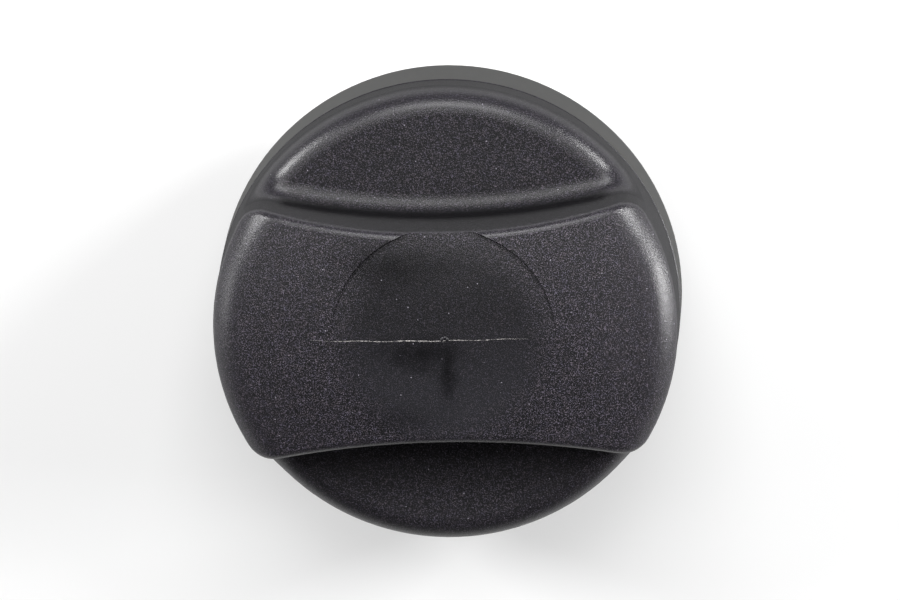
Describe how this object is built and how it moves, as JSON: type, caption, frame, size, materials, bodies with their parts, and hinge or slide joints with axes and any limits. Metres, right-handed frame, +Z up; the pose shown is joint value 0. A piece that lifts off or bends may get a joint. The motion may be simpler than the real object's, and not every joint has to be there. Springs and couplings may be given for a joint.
{
  "type": "fuel cap",
  "caption": "Round black screw-in fuel cap with a raised bow-tie grip across its face, a torque limiter, a neck seal and a breather valve in the plug.",
  "frame": {"origin": "centre of the plug's flat end, on which the cap stands", "axes": "+Z up along the cap's axis towards the grip, X along the grip, Y across it"},
  "size_m": [0.072, 0.072, 0.048],
  "materials": {
    "cover_plastic": "black moulded polyamide with a fine spark-eroded grain",
    "closure_plastic": "black moulded acetal, smooth",
    "limiter_plastic": "natural acetal, smooth",
    "valve_plastic": "natural polyamide, smooth",
    "seal_rubber": "moulded nitrile rubber",
    "spring_steel": "drawn spring wire"
  },
  "bodies": {
    "closure": {"closure_body": "closure_plastic", "neck_seal": "seal_rubber", "valve_cup": "valve_plastic", "valve_cup_o_ring": "seal_rubber", "valve_lid": "valve_plastic", "pressure_spring": "spring_steel"},
    "cover": {"grip_cover": "cover_plastic", "ratchet_ring": "limiter_plastic"},
    "pressure_valve": {"pressure_valve_plate": "valve_plastic", "pressure_valve_seal": "seal_rubber", "vacuum_spring": "spring_steel"},
    "vacuum_valve": {"vacuum_valve": "valve_plastic", "vacuum_spring_clip": "spring_steel"}
  },
  "joints": [
    {"name": "cover_turn", "type": "hinge", "parent": "closure", "child": "cover", "pos_m": [0, 0, 0.025], "axis": [0, 0, 1], "range_deg": [-360, 0], "deforming": ["ratchet_ring"]},
    {"name": "pressure_lift", "type": "slide", "parent": "closure", "child": "pressure_valve", "axis": [0, 0, 1], "range_m": [0, 0.0025], "stiffness_N_per_m": 800, "springref_m": -0.004, "deforming": ["pressure_spring"]},
    {"name": "vacuum_drop", "type": "slide", "parent": "pressure_valve", "child": "vacuum_valve", "axis": [0, 0, -1], "range_m": [0, 0.0016], "stiffness_N_per_m": 100, "springref_m": -0.004, "deforming": ["vacuum_spring"]}
  ]
}
